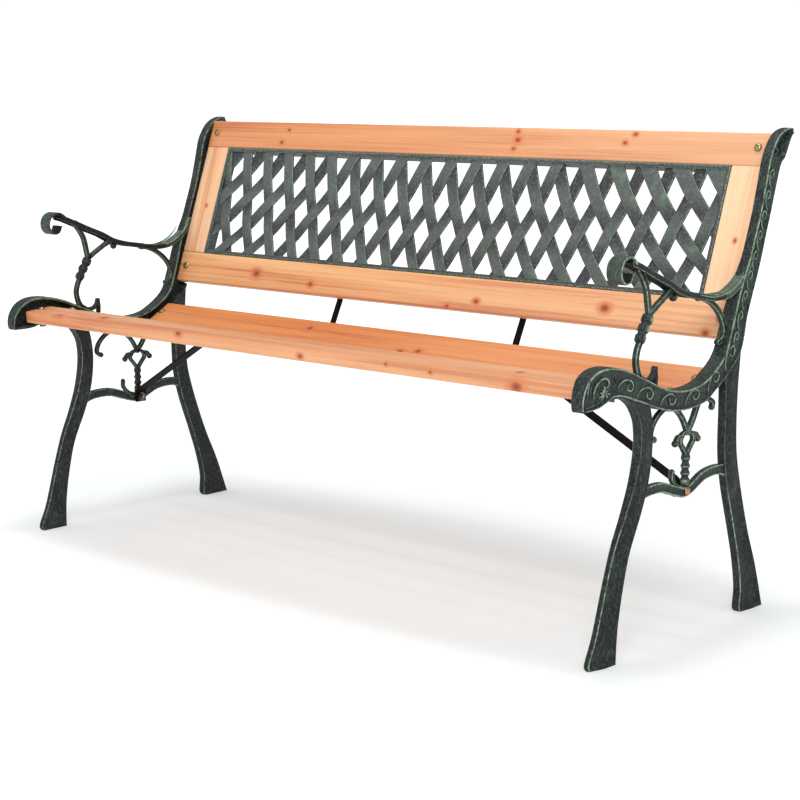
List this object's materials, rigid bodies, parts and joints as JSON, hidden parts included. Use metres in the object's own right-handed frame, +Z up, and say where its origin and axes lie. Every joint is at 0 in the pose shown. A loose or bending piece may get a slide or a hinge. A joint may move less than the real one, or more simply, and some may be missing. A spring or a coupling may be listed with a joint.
{
  "type": "garden bench",
  "caption": "Slatted garden bench with ornamental cast end frames, timber seat slats and a framed backrest holding a woven-pattern lattice panel.",
  "frame": {"origin": "on the floor, below the centre of the bounding box", "axes": "+X along the bench, towards the right-hand end frame as seen from the front; -Y the front; +Z up"},
  "size_m": [1.22, 0.5234, 0.7268],
  "materials": {
    "casting": "black paint with a rubbed green patina on the raised edges",
    "timber": "oiled orange-brown softwood with small knots",
    "lattice": "moulded, painted black with green patina like the castings",
    "bar_steel": "satin black paint",
    "fastener": "yellow-zinc plated",
    "dowel": "plain beech"
  },
  "bodies": {
    "root": {"back_bolts": "fastener", "back_nuts": "fastener", "back_rail_bottom": "timber", "back_rail_top": "timber", "back_stile_left": "timber", "back_stile_right": "timber", "back_washers": "fastener", "brace_bolts": "fastener", "brace_left": "bar_steel", "brace_nuts": "fastener", "brace_right": "bar_steel", "brace_slat_screws": "fastener", "brace_washers": "fastener", "end_frame_left": "casting", "end_frame_right": "casting", "lattice_panel": "lattice", "seat_bolts": "fastener", "seat_nuts": "fastener", "seat_slat_1": "timber", "seat_slat_2": "timber", "seat_slat_3": "timber", "seat_slat_4": "timber", "seat_slat_5": "timber", "seat_washers": "fastener", "stile_dowels": "dowel", "strap_back_screws": "fastener", "strap_seat_screws": "fastener", "support_strap_left": "bar_steel", "support_strap_right": "bar_steel"}
  },
  "joints": []
}
